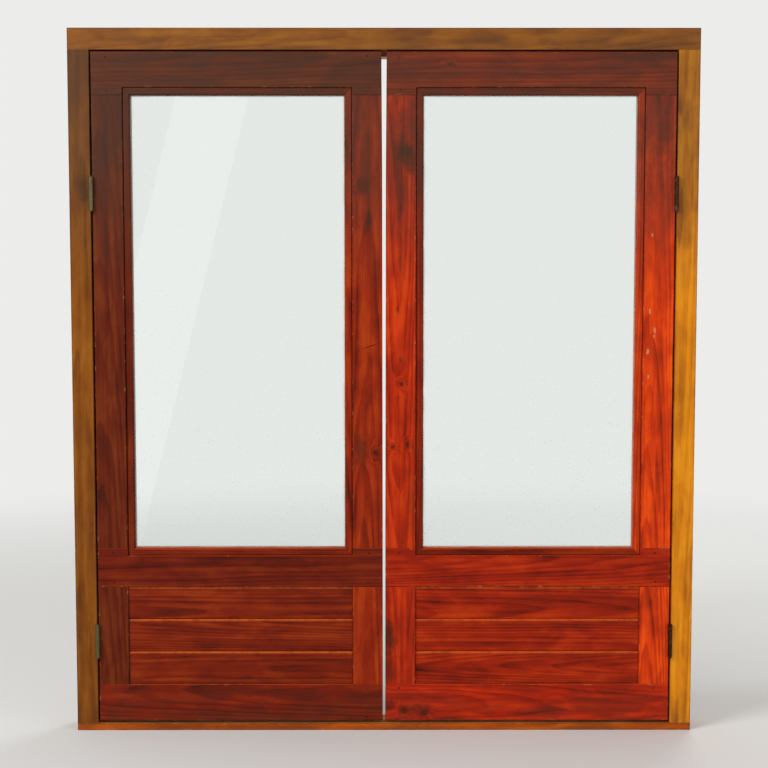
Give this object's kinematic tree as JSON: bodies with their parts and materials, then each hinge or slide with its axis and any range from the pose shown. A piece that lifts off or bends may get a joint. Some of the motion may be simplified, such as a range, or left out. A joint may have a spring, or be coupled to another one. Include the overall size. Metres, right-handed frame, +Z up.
{
  "type": "pair of glazed timber doors in their frame",
  "caption": "Double door set: inward-opening half-glazed leaves with boarded lower panels, half-lapped members and butt hinges in a rebated timber frame with a low sill.",
  "frame": {"origin": "middle of the sill's underside, half-way through the frame's depth", "axes": "+X to the right as seen from the room, +Y outwards through the wall, +Z up"},
  "size_m": [1.886, 0.1235, 2.132],
  "materials": {
    "leaf_wood": "red-brown stained and varnished softwood",
    "frame_wood": "amber varnished softwood",
    "pane": "clear float glass",
    "hinge_metal": "dulled steel"
  },
  "bodies": {
    "frame": {"sill": "frame_wood", "left_jamb": "frame_wood", "right_jamb": "frame_wood", "head": "frame_wood", "left_upper_jamb_flap": "hinge_metal", "left_lower_jamb_flap": "hinge_metal", "right_upper_jamb_flap": "hinge_metal", "right_lower_jamb_flap": "hinge_metal", "left_upper_pin": "hinge_metal", "left_lower_pin": "hinge_metal", "right_upper_pin": "hinge_metal", "right_lower_pin": "hinge_metal"},
    "left_leaf": {"left_hinge_stile": "leaf_wood", "left_meeting_stile": "leaf_wood", "left_top_rail": "leaf_wood", "left_lock_rail": "leaf_wood", "left_bottom_rail": "leaf_wood", "left_upper_board": "leaf_wood", "left_middle_board": "leaf_wood", "left_lower_board": "leaf_wood", "left_glass": "pane", "left_bead_top": "leaf_wood", "left_bead_bottom": "leaf_wood", "left_bead_hinge_side": "leaf_wood", "left_bead_meeting_side": "leaf_wood", "left_upper_leaf_flap": "hinge_metal", "left_lower_leaf_flap": "hinge_metal"},
    "right_leaf": {"right_hinge_stile": "leaf_wood", "right_meeting_stile": "leaf_wood", "right_top_rail": "leaf_wood", "right_lock_rail": "leaf_wood", "right_bottom_rail": "leaf_wood", "right_upper_board": "leaf_wood", "right_middle_board": "leaf_wood", "right_lower_board": "leaf_wood", "right_glass": "pane", "right_bead_top": "leaf_wood", "right_bead_bottom": "leaf_wood", "right_bead_hinge_side": "leaf_wood", "right_bead_meeting_side": "leaf_wood", "right_upper_leaf_flap": "hinge_metal", "right_lower_leaf_flap": "hinge_metal"}
  },
  "joints": [
    {"name": "left_leaf_swing", "type": "hinge", "parent": "frame", "child": "left_leaf", "pos_m": [-0.8765, -0.062, 0.961], "axis": [0, 0, 1], "range_deg": [-105, 0]},
    {"name": "right_leaf_swing", "type": "hinge", "parent": "frame", "child": "right_leaf", "pos_m": [0.8765, -0.062, 0.961], "axis": [0, 0, 1], "range_deg": [0, 105]}
  ]
}
